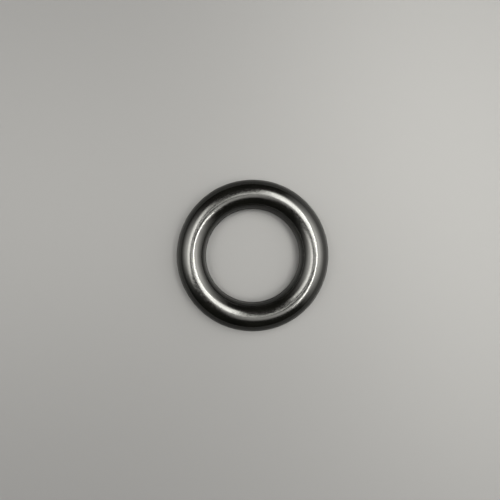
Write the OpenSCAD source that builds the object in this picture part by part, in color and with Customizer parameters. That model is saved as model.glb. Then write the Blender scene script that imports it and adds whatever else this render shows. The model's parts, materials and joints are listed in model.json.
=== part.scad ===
// Sealing ring: a rubber ring of round section, moulded whole.
// It lies flat, as it comes to rest, with +Z up along its axis.
// The origin is the ring's centre, and z = 0 is the plane where the mould's
// halves met. Lengths are in millimetres and angles in degrees.

/* [Ring] */
// Inside diameter, measured on the round section
inner_d = 10; // [4:0.5:60]
// Diameter of the round section
section_d = 3; // [1.5:0.1:8]

/* [Moulding flash] */
// Height that the trimmed flash stands out of the round section
flash_h = 0.05; // [0.02:0.01:0.1]
// Width of the flash across its trimmed lip
lip_w = 0.1; // [0.06:0.01:0.2]
// Slope of the flash's sides, measured from the parting plane
flash_slope = 30; // [0:5:45]

/* [Hidden] */

rubber_colour = [0.08, 0.08, 0.08];
$fn = 180;

section_r = section_d / 2;
// Radius of the circle that the middle of the section follows
centre_r = inner_d / 2 + section_r;
// Distances from the middle of the section to the flash's lip and root.
// The root lies as deep in the section as the lip stands out of it.
lip_reach = section_r + flash_h;
root_reach = section_r - flash_h;
root_w = lip_w + 2 * (lip_reach - root_reach) * tan(flash_slope);

// The thin ridge left at the parting plane, on the rim side of the section
module flash() {
    polygon([
        [root_reach, -root_w / 2],
        [lip_reach, -lip_w / 2],
        [lip_reach, lip_w / 2],
        [root_reach, root_w / 2],
    ]);
}

// The section about its own middle: round, with flash at the rim and the bore
module section() {
    circle(r = section_r);
    flash();
    rotate(180) flash();
}

module sealing_ring() {
    color(rubber_colour)
        rotate_extrude()
            translate([centre_r, 0])
                section();
}

sealing_ring();
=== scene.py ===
"""Black rubber sealing ring of round section, lying flat on a pale floor."""

import json
import math

import bpy
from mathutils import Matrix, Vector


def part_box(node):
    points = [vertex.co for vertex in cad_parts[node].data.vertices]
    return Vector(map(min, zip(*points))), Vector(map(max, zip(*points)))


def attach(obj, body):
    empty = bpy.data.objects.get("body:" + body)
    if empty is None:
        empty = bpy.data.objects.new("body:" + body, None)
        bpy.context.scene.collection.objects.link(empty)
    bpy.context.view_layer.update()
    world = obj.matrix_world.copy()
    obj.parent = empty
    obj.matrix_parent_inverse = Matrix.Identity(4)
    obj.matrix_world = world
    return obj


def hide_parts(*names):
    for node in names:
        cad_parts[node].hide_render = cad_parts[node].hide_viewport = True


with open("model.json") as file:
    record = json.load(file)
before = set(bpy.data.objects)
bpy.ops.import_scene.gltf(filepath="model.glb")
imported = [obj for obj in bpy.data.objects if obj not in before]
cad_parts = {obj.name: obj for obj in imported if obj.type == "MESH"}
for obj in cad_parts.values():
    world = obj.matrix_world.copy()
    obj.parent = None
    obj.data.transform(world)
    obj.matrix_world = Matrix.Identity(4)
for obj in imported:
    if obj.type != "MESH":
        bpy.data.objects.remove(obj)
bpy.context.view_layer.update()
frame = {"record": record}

bl_info = {
    "name": "Sealing Ring",
    "version": (1, 0, 0),
    "blender": (4, 5, 0),
    "location": "3D View > Sidebar > Sealing Ring",
    "description": "Moulds a rubber sealing ring and sets it under soft studio light",
    "category": "Add Mesh",
}

MM = 0.001
NODE = "sealing_ring"

# Steps of the section, of its turn round the axis and of the flash's rounded edges, and the
# distance that counts as none
SECTION_POINTS = 96
TURN_STEPS = 384
MERGE_DISTANCE = 0.0002 * MM
EDGE_SEGMENTS = 3


# ---------------------------------------------------------------- sizes from the frame

def mount_radius(name):
    """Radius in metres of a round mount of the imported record."""
    for mount in frame["record"]["mounts"]:
        if mount["name"] == name:
            return mount["dims"]["r_mm"] * MM
    raise RuntimeError(f"the frame has no mount named {name}")


NODE_LOW, NODE_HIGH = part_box(NODE)
RIM_R = min(NODE_HIGH.x, NODE_HIGH.y)
BORE_R = mount_radius("bore")
SECTION_R = NODE_HIGH.z
CENTRE_R = (RIM_R + BORE_R) / 2
FLASH_H = (RIM_R - BORE_R) / 2 - SECTION_R


# ---------------------------------------------------------------- settings

class RingSettings(bpy.types.PropertyGroup):
    """Sizes and finish of the ring"""

    centre_r: bpy.props.FloatProperty(
        name="Centre Radius",
        description="Radius of the circle that the middle of the section follows",
        default=CENTRE_R,
        unit="LENGTH",
    )
    section_r: bpy.props.FloatProperty(
        name="Section Radius",
        description="Radius of the round section",
        default=SECTION_R,
        unit="LENGTH",
    )
    flash_h: bpy.props.FloatProperty(
        name="Flash Height",
        description="How far the trimmed moulding flash stands out of the section",
        default=FLASH_H,
        unit="LENGTH",
    )
    lip_w: bpy.props.FloatProperty(
        name="Flash Lip",
        description="Width of the flash across its trimmed lip",
        default=0.1 * MM,
        unit="LENGTH",
    )
    flash_slope: bpy.props.FloatProperty(
        name="Flash Slope",
        description="Slope of the flash's sides, measured from the parting plane",
        default=math.radians(30),
        subtype="ANGLE",
    )
    edge_r: bpy.props.FloatProperty(
        name="Edge Rounding",
        description="Rounding of the flash's lip and root",
        default=0.015 * MM,
        unit="LENGTH",
    )
    colour: bpy.props.FloatVectorProperty(
        name="Rubber",
        description="Colour of the rubber",
        default=(0.004, 0.004, 0.003),
        size=3,
        subtype="COLOR",
    )
    roughness: bpy.props.FloatProperty(
        name="Roughness",
        description="Roughness of the moulded skin",
        default=0.17,
        min=0.0,
        max=1.0,
        subtype="FACTOR",
    )


class StageSettings(bpy.types.PropertyGroup):
    """Camera, floor and light"""

    floor_colour: bpy.props.FloatVectorProperty(
        name="Floor",
        description="Colour of the floor",
        default=(0.24, 0.239, 0.246),
        size=3,
        subtype="COLOR",
    )
    backdrop_colour: bpy.props.FloatVectorProperty(
        name="Backdrop",
        description="Colour of the backdrop, into which the floor fades",
        default=(0.37, 0.366, 0.356),
        size=3,
        subtype="COLOR",
    )
    camera_height: bpy.props.FloatProperty(
        name="Camera Height",
        description="Height of the camera above the parting plane",
        default=0.075,
        unit="LENGTH",
    )
    lamp_height: bpy.props.FloatProperty(
        name="Lamp Height",
        description="Height of the softboxes above the floor",
        default=0.6,
        unit="LENGTH",
    )
    light: bpy.props.FloatProperty(
        name="Light",
        description="Brightness of the softboxes",
        default=0.95,
    )


# ---------------------------------------------------------------- modelling helpers

def deselect_all():
    bpy.ops.object.select_all(action="DESELECT")


def make_active(piece):
    deselect_all()
    piece.select_set(True)
    bpy.context.view_layer.objects.active = piece


def select_points(mesh, wanted):
    """Selects the points of an open edit mesh for which wanted(place) holds."""
    bpy.ops.mesh.select_all(action="DESELECT")
    bpy.ops.object.mode_set(mode="OBJECT")
    for point in mesh.vertices:
        point.select = wanted(point.co)
    bpy.ops.object.mode_set(mode="EDIT")


def edit_points():
    bpy.ops.object.mode_set(mode="EDIT")
    bpy.ops.mesh.select_mode(type="VERT")


# ---------------------------------------------------------------- the ring

class SEALINGRING_OT_mould(bpy.types.Operator):
    """Mould the ring: draw its section, raise the flash and spin it round the axis"""

    bl_idname = "sealingring.mould"
    bl_label = "Mould Ring"
    bl_options = {"REGISTER", "UNDO"}

    def execute(self, context):
        sizes = context.scene.sealing_ring
        ring = draw_section(sizes)
        raise_flash(ring, sizes)
        spin_section(ring)
        smooth_skin(ring)
        ring.data.materials.clear()
        ring.data.materials.append(rubber(sizes))
        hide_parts(NODE)
        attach(ring, "root")
        return {"FINISHED"}


def draw_section(sizes):
    """The round section as an outline, standing on the ring's +X side."""
    deselect_all()
    bpy.ops.mesh.primitive_circle_add(
        vertices=SECTION_POINTS,
        radius=sizes.section_r,
        fill_type="NOTHING",
        location=(sizes.centre_r, 0, 0),
        rotation=(math.radians(90), 0, 0),
    )
    ring = bpy.context.active_object
    ring.name = "moulded_ring"
    ring.data.name = "moulded_ring"
    bpy.ops.object.transform_apply(location=True, rotation=True, scale=True)
    return ring


def raise_flash(ring, sizes):
    """Cuts the outline at the flash's lip and root, and draws the lips out flat."""
    lip = sizes.lip_w / 2
    root = lip + sizes.flash_h * math.tan(sizes.flash_slope)
    edit_points()
    for height in (-root, -lip, lip, root):
        bpy.ops.mesh.select_all(action="SELECT")
        bpy.ops.mesh.bisect(
            plane_co=(0, 0, height), plane_no=(0, 0, 1), threshold=MERGE_DISTANCE
        )
    slack = 0.01 * lip
    for side in (-1, 1):
        select_points(
            ring.data,
            lambda co: abs(co.z) < lip + slack and side * (co.x - sizes.centre_r) > 0,
        )
        reach = sizes.centre_r + side * (sizes.section_r + sizes.flash_h)
        bpy.ops.transform.resize(value=(0, 1, 1), center_override=(reach, 0, 0))
        # The stretch of section behind the flash's sides has no points of its own
        select_points(
            ring.data,
            lambda co: lip + slack < abs(co.z) < root - slack
            and side * (co.x - sizes.centre_r) > 0,
        )
        bpy.ops.mesh.dissolve_verts()
    select_points(
        ring.data,
        lambda co: abs(abs(co.z) - lip) < slack or abs(abs(co.z) - root) < slack,
    )
    bpy.ops.mesh.bevel(
        offset=sizes.edge_r, offset_type="OFFSET", segments=EDGE_SEGMENTS, affect="VERTICES"
    )
    bpy.ops.object.mode_set(mode="OBJECT")


def spin_section(ring):
    """Turns the section once round the axis and closes the seam."""
    edit_points()
    bpy.ops.mesh.select_all(action="SELECT")
    bpy.ops.mesh.spin(
        steps=TURN_STEPS, angle=math.radians(360), center=(0, 0, 0), axis=(0, 0, 1)
    )
    bpy.ops.mesh.select_all(action="SELECT")
    bpy.ops.mesh.remove_doubles(threshold=MERGE_DISTANCE)
    bpy.ops.mesh.normals_make_consistent(inside=False)
    bpy.ops.object.mode_set(mode="OBJECT")


def smooth_skin(ring):
    make_active(ring)
    bpy.ops.object.shade_smooth()
    bpy.ops.object.modifier_add(type="WEIGHTED_NORMAL")
    bpy.ops.object.modifier_apply(modifier=ring.modifiers[-1].name)


# ---------------------------------------------------------------- materials

# Range in which nearly all of a noise lies
NOISE_LOW = 0.3
NOISE_HIGH = 0.7

# Skin of the rubber: index that gives its gloss, how far its shade and roughness vary, and
# the lengths and depths of its relief
RUBBER_IOR = 2.2
DARK_SHARE = 0.6
LIGHT_SHARE = 1.4
ROUGHNESS_SPREAD = 0.05
CLOUD_LENGTH = 3 * MM
SPECK_LENGTH = 0.2 * MM
WAVE_LENGTH = 2.5 * MM
WAVE_DEPTH = 0.025 * MM
RIPPLE_LENGTH = 0.45 * MM
RIPPLE_DEPTH = 0.003 * MM
GRAIN_LENGTH = 0.08 * MM
GRAIN_DEPTH = 0.0006 * MM


def new_material(name):
    """An empty node material with its output, and a function that adds nodes to it."""
    material = bpy.data.materials.new(name)
    material.use_nodes = True
    tree = material.node_tree
    tree.nodes.clear()

    def add(kind, **values):
        node = tree.nodes.new(kind)
        for key, value in values.items():
            setattr(node, key, value)
        return node

    return material, tree, add


def rubber(sizes):
    """Moulded black rubber: a glossy skin with low waves, fine ripples and dull specks."""
    material, tree, add = new_material("black_rubber")
    link = tree.links.new
    place = add("ShaderNodeTexCoord")

    def noise(wavelength, detail=2.0):
        texture = add("ShaderNodeTexNoise")
        texture.inputs["Scale"].default_value = 1 / wavelength
        texture.inputs["Detail"].default_value = detail
        link(place.outputs["Object"], texture.inputs["Vector"])
        return texture.outputs["Fac"]

    def spread(value, low, high):
        """Maps the usual range of a noise to low ... high."""
        node = add("ShaderNodeMapRange")
        node.inputs["From Min"].default_value = NOISE_LOW
        node.inputs["From Max"].default_value = NOISE_HIGH
        node.inputs["To Min"].default_value = low
        node.inputs["To Max"].default_value = high
        link(value, node.inputs["Value"])
        return node.outputs["Result"]

    def raise_skin(height, distance, below=None):
        bump = add("ShaderNodeBump")
        bump.inputs["Strength"].default_value = 1
        bump.inputs["Distance"].default_value = distance
        link(height, bump.inputs["Height"])
        if below:
            link(below, bump.inputs["Normal"])
        return bump.outputs["Normal"]

    skin = add("ShaderNodeBsdfPrincipled")
    skin.inputs["IOR"].default_value = RUBBER_IOR

    shade = add("ShaderNodeMix", data_type="RGBA")
    shade.inputs["A"].default_value = (*(DARK_SHARE * part for part in sizes.colour), 1)
    shade.inputs["B"].default_value = (*(LIGHT_SHARE * part for part in sizes.colour), 1)
    link(spread(noise(CLOUD_LENGTH), 0, 1), shade.inputs["Factor"])
    link(shade.outputs["Result"], skin.inputs["Base Color"])

    low, high = sizes.roughness - ROUGHNESS_SPREAD, sizes.roughness + ROUGHNESS_SPREAD
    link(spread(noise(SPECK_LENGTH), low, high), skin.inputs["Roughness"])

    waves = raise_skin(noise(WAVE_LENGTH, 0), WAVE_DEPTH)
    ripples = raise_skin(noise(RIPPLE_LENGTH, 1), RIPPLE_DEPTH, waves)
    grain = raise_skin(noise(GRAIN_LENGTH), GRAIN_DEPTH, ripples)
    link(grain, skin.inputs["Normal"])

    output = add("ShaderNodeOutputMaterial")
    link(skin.outputs["BSDF"], output.inputs["Surface"])
    return material


def add_paint(add, colour, roughness, ior):
    """The shader of a plain even finish."""
    paint = add("ShaderNodeBsdfPrincipled")
    paint.inputs["Base Color"].default_value = (*colour, 1)
    paint.inputs["Roughness"].default_value = roughness
    paint.inputs["IOR"].default_value = ior
    return paint


def flag_cloth():
    material, tree, add = new_material("flag_cloth")
    paint = add_paint(add, FLAG_COLOUR, FLAG_ROUGHNESS, FLAG_IOR)
    output = add("ShaderNodeOutputMaterial")
    tree.links.new(paint.outputs["BSDF"], output.inputs["Surface"])
    return material


# ---------------------------------------------------------------- the stage

class SEALINGRING_OT_stage(bpy.types.Operator):
    """Set the stage: floor, softboxes, world and the camera that looks down"""

    bl_idname = "sealingring.stage"
    bl_label = "Set Stage"
    bl_options = {"REGISTER", "UNDO"}

    def execute(self, context):
        stage = context.scene.sealing_ring_stage
        lay_floor(stage)
        hang_softboxes(stage)
        hang_flag(stage)
        light_world(context.scene, stage)
        place_camera(context.scene, stage)
        context.scene.view_settings.view_transform = "Standard"
        return {"FINISHED"}


# The camera sees a pale sheet with a soft gloss, which from FADE_START to FADE_END away from
# the axis fades into the backdrop. All other rays meet a darker satin sheet, so the ring
# mirrors a darker floor than the one in the picture
FLOOR_RADIUS = 1.0
FLOOR_POINTS = 128
SHEET_ROUGHNESS = 0.43
SHEET_GLOSS = 0.08
MIRRORED_COLOUR = (0.08, 0.08, 0.081)
MIRRORED_IOR = 2.05
FADE_START = 0.04
FADE_END = 0.4


def floor_sheet(stage):
    material, tree, add = new_material("floor_sheet")
    link = tree.links.new
    rays = add("ShaderNodeLightPath")

    mirrored = add_paint(add, MIRRORED_COLOUR, SHEET_ROUGHNESS, MIRRORED_IOR)

    body = add("ShaderNodeBsdfDiffuse")
    body.inputs["Color"].default_value = (*stage.floor_colour, 1)
    gloss = add("ShaderNodeBsdfAnisotropic")
    gloss.inputs["Color"].default_value = (1, 1, 1, 1)
    gloss.inputs["Roughness"].default_value = SHEET_ROUGHNESS
    seen = add("ShaderNodeMixShader")
    seen.inputs["Fac"].default_value = SHEET_GLOSS
    link(body.outputs["BSDF"], seen.inputs[1])
    link(gloss.outputs["BSDF"], seen.inputs[2])

    place = add("ShaderNodeTexCoord")
    distance = add("ShaderNodeVectorMath", operation="LENGTH")
    link(place.outputs["Object"], distance.inputs[0])
    fade = add("ShaderNodeMapRange", interpolation_type="SMOOTHSTEP")
    fade.inputs["From Min"].default_value = FADE_START
    fade.inputs["From Max"].default_value = FADE_END
    link(distance.outputs["Value"], fade.inputs["Value"])
    far = add("ShaderNodeEmission")
    far.inputs["Color"].default_value = (*stage.backdrop_colour, 1)
    faded = add("ShaderNodeMixShader")
    link(fade.outputs["Result"], faded.inputs["Fac"])
    link(seen.outputs["Shader"], faded.inputs[1])
    link(far.outputs["Emission"], faded.inputs[2])

    sheet = add("ShaderNodeMixShader")
    link(rays.outputs["Is Camera Ray"], sheet.inputs["Fac"])
    link(mirrored.outputs["BSDF"], sheet.inputs[1])
    link(faded.outputs["Shader"], sheet.inputs[2])
    output = add("ShaderNodeOutputMaterial")
    link(sheet.outputs["Shader"], output.inputs["Surface"])
    return material


def lay_floor(stage):
    deselect_all()
    bpy.ops.mesh.primitive_circle_add(
        vertices=FLOOR_POINTS,
        radius=FLOOR_RADIUS,
        fill_type="NGON",
        location=(0, 0, NODE_LOW.z),
    )
    floor = bpy.context.active_object
    floor.name = "floor"
    bpy.ops.object.transform_apply(location=True, rotation=True, scale=True)
    floor.data.materials.append(floor_sheet(stage))


# A round flag that keeps light off the ring: its middle and radius as seen from the ring for
# a flag one unit up, and its height against the lamp height
FLAG_MIDDLE = (0.158, -0.09)
FLAG_R = 0.122
FLAG_SHARE = 0.8
FLAG_POINTS = 64
FLAG_COLOUR = (0.02, 0.02, 0.02)
FLAG_ROUGHNESS = 1.0
FLAG_IOR = 1.2

# The softboxes that stand at the sides
SIDE_DISTANCE = 0.7
SIDE_SIZE = (1.8, 0.9)
LIGHT_COLOUR = (1.0, 0.985, 0.92, 1.0)
FILL_STRENGTH = 0.008


def grade_cloth(lamp, hot, reach):
    """Lets a softbox fade smoothly away from its brightest place; both in shares of its sides."""
    lamp.data.use_nodes = True
    tree = lamp.data.node_tree
    tree.nodes.clear()
    cloth = tree.nodes.new("ShaderNodeNewGeometry")
    place = tree.nodes.new("ShaderNodeVectorMath")
    place.operation = "SUBTRACT"
    place.inputs[1].default_value = (hot[0], hot[1], 0)
    away = tree.nodes.new("ShaderNodeVectorMath")
    away.operation = "DIVIDE"
    away.inputs[1].default_value = (reach[0], reach[1], 1)
    square = tree.nodes.new("ShaderNodeVectorMath")
    square.operation = "DOT_PRODUCT"
    fall = tree.nodes.new("ShaderNodeMath")
    fall.operation = "MULTIPLY"
    fall.inputs[1].default_value = -1
    share = tree.nodes.new("ShaderNodeMath")
    share.operation = "EXPONENT"
    light = tree.nodes.new("ShaderNodeEmission")
    light.inputs["Color"].default_value = LIGHT_COLOUR
    output = tree.nodes.new("ShaderNodeOutputLight")
    link = tree.links.new
    link(cloth.outputs["Parametric"], place.inputs[0])
    link(place.outputs["Vector"], away.inputs[0])
    link(away.outputs["Vector"], square.inputs[0])
    link(away.outputs["Vector"], square.inputs[1])
    link(square.outputs["Value"], fall.inputs[0])
    link(fall.outputs["Value"], share.inputs[0])
    link(share.outputs["Value"], light.inputs["Strength"])
    link(light.outputs["Emission"], output.inputs["Surface"])


def add_softbox(name, place, rotation, size, brightness, hot, reach):
    """A softbox whose cloth is brightest at the share hot of its sides."""
    deselect_all()
    bpy.ops.object.light_add(type="AREA", location=place, rotation=rotation)
    lamp = bpy.context.active_object
    lamp.name = name
    lamp.visible_camera = False
    lamp.data.shape = "RECTANGLE"
    lamp.data.size = size[0]
    lamp.data.size_y = size[1]
    lamp.data.energy = brightness * math.pi * size[0] * size[1]
    grade_cloth(lamp, hot, (reach[0] / size[0], reach[1] / size[1]))


def hang_softbox(stage, name, share, middle, size, turn, brightness, hot, reach):
    """A level softbox; middle, size and reach are as seen from the ring for one a unit up."""
    height = share * stage.lamp_height
    add_softbox(
        name,
        (middle[0] * height, middle[1] * height, height),
        (0, 0, math.radians(turn)),
        (size[0] * height, size[1] * height),
        stage.light * brightness,
        hot,
        (reach[0] * height, reach[1] * height),
    )


def stand_softbox(stage, name, bearing, brightness, hot_height, reach):
    """An upright softbox at the side, facing the ring, with its foot on the floor."""
    turn = math.radians(bearing)
    add_softbox(
        name,
        (SIDE_DISTANCE * math.cos(turn), SIDE_DISTANCE * math.sin(turn), SIDE_SIZE[1] / 2),
        (math.radians(90), 0, turn + math.radians(90)),
        SIDE_SIZE,
        stage.light * brightness,
        (0.5, hot_height / SIDE_SIZE[1]),
        reach,
    )


def hang_softboxes(stage):
    # Each level softbox has a height of its own, so that none hides another
    hang_softbox(
        stage, "strip_light", share=0.84, middle=(0.394, -0.03), size=(0.04, 0.87), turn=1.5,
        brightness=34, hot=(0.5, 0.42), reach=(0.5, 0.5)
    )
    hang_softbox(
        stage, "core_softbox", share=0.92, middle=(0.262, 0.350), size=(0.36, 0.69), turn=-11,
        brightness=5.4, hot=(0.03, 0.04), reach=(0.36, 1.24)
    )
    hang_softbox(
        stage, "wide_softbox", share=1.0, middle=(1.104, 0.05), size=(2.19, 1.70), turn=-13.5,
        brightness=3.1, hot=(0.2, 0.42), reach=(0.60, 0.57)
    )
    hang_softbox(
        stage, "left_softbox", share=0.96, middle=(-0.676, 0.08), size=(0.885, 0.72), turn=34,
        brightness=6.2, hot=(0.99, 0.12), reach=(0.55, 0.42)
    )
    stand_softbox(
        stage, "right_side_softbox", bearing=8, brightness=1.6, hot_height=0.56,
        reach=(0.58, 0.42)
    )
    stand_softbox(
        stage, "left_side_softbox", bearing=173, brightness=1.3, hot_height=0.66,
        reach=(0.32, 0.35)
    )


def hang_flag(stage):
    height = FLAG_SHARE * stage.lamp_height
    deselect_all()
    bpy.ops.mesh.primitive_circle_add(
        vertices=FLAG_POINTS,
        radius=FLAG_R * height,
        fill_type="NGON",
        location=(FLAG_MIDDLE[0] * height, FLAG_MIDDLE[1] * height, height),
    )
    flag = bpy.context.active_object
    flag.name = "flag"
    bpy.ops.object.transform_apply(location=True, rotation=True, scale=True)
    flag.data.materials.append(flag_cloth())
    flag.visible_camera = False


def light_world(scene, stage):
    world = bpy.data.worlds.new("studio")
    world.use_nodes = True
    tree = world.node_tree
    tree.nodes.clear()
    fill = tree.nodes.new("ShaderNodeBackground")
    fill.inputs["Color"].default_value = (1, 1, 1, 1)
    fill.inputs["Strength"].default_value = FILL_STRENGTH
    seen = tree.nodes.new("ShaderNodeBackground")
    seen.inputs["Color"].default_value = (*stage.backdrop_colour, 1)
    rays = tree.nodes.new("ShaderNodeLightPath")
    mix = tree.nodes.new("ShaderNodeMixShader")
    output = tree.nodes.new("ShaderNodeOutputWorld")
    tree.links.new(rays.outputs["Is Camera Ray"], mix.inputs["Fac"])
    tree.links.new(fill.outputs["Background"], mix.inputs[1])
    tree.links.new(seen.outputs["Background"], mix.inputs[2])
    tree.links.new(mix.outputs["Shader"], output.inputs["Surface"])
    scene.world = world


# The ring shows 9.41 pixels to the millimetre, its middle 2.6 right of and 5.5 below the
# middle of a picture 500 pixels wide
PICTURE_WIDTH = 500
PIXELS_PER_METRE = 9410
MIDDLE_RIGHT = 2.6
MIDDLE_BELOW = 5.5
CLIP_START = 0.01
CLIP_END = 10


def place_camera(scene, stage):
    deselect_all()
    bpy.ops.object.camera_add(
        location=(
            -MIDDLE_RIGHT / PIXELS_PER_METRE,
            MIDDLE_BELOW / PIXELS_PER_METRE,
            stage.camera_height,
        ),
        rotation=(0, 0, 0),
    )
    camera = bpy.context.active_object
    camera.name = "camera"
    seen_width = PICTURE_WIDTH / PIXELS_PER_METRE
    camera.data.lens = camera.data.sensor_width * stage.camera_height / seen_width
    camera.data.clip_start = CLIP_START
    camera.data.clip_end = CLIP_END
    scene.camera = camera


# ---------------------------------------------------------------- add-on

class SEALINGRING_PT_panel(bpy.types.Panel):
    """The ring's settings and steps"""

    bl_idname = "SEALINGRING_PT_panel"
    bl_label = "Sealing Ring"
    bl_space_type = "VIEW_3D"
    bl_region_type = "UI"
    bl_category = "Sealing Ring"

    def draw(self, context):
        layout = self.layout
        for settings in (context.scene.sealing_ring, context.scene.sealing_ring_stage):
            for name in settings.bl_rna.properties.keys():
                if name not in {"rna_type", "name"}:
                    layout.prop(settings, name)
        for step in STEPS:
            layout.operator(step.bl_idname)


STEPS = (SEALINGRING_OT_mould, SEALINGRING_OT_stage)
CLASSES = (RingSettings, StageSettings, *STEPS, SEALINGRING_PT_panel)


def register():
    for item in CLASSES:
        bpy.utils.register_class(item)
    bpy.types.Scene.sealing_ring = bpy.props.PointerProperty(type=RingSettings)
    bpy.types.Scene.sealing_ring_stage = bpy.props.PointerProperty(type=StageSettings)


def unregister():
    del bpy.types.Scene.sealing_ring_stage
    del bpy.types.Scene.sealing_ring
    for item in reversed(CLASSES):
        bpy.utils.unregister_class(item)


def main():
    register()
    bpy.ops.sealingring.mould()
    bpy.ops.sealingring.stage()


if __name__ == "__main__":
    main()
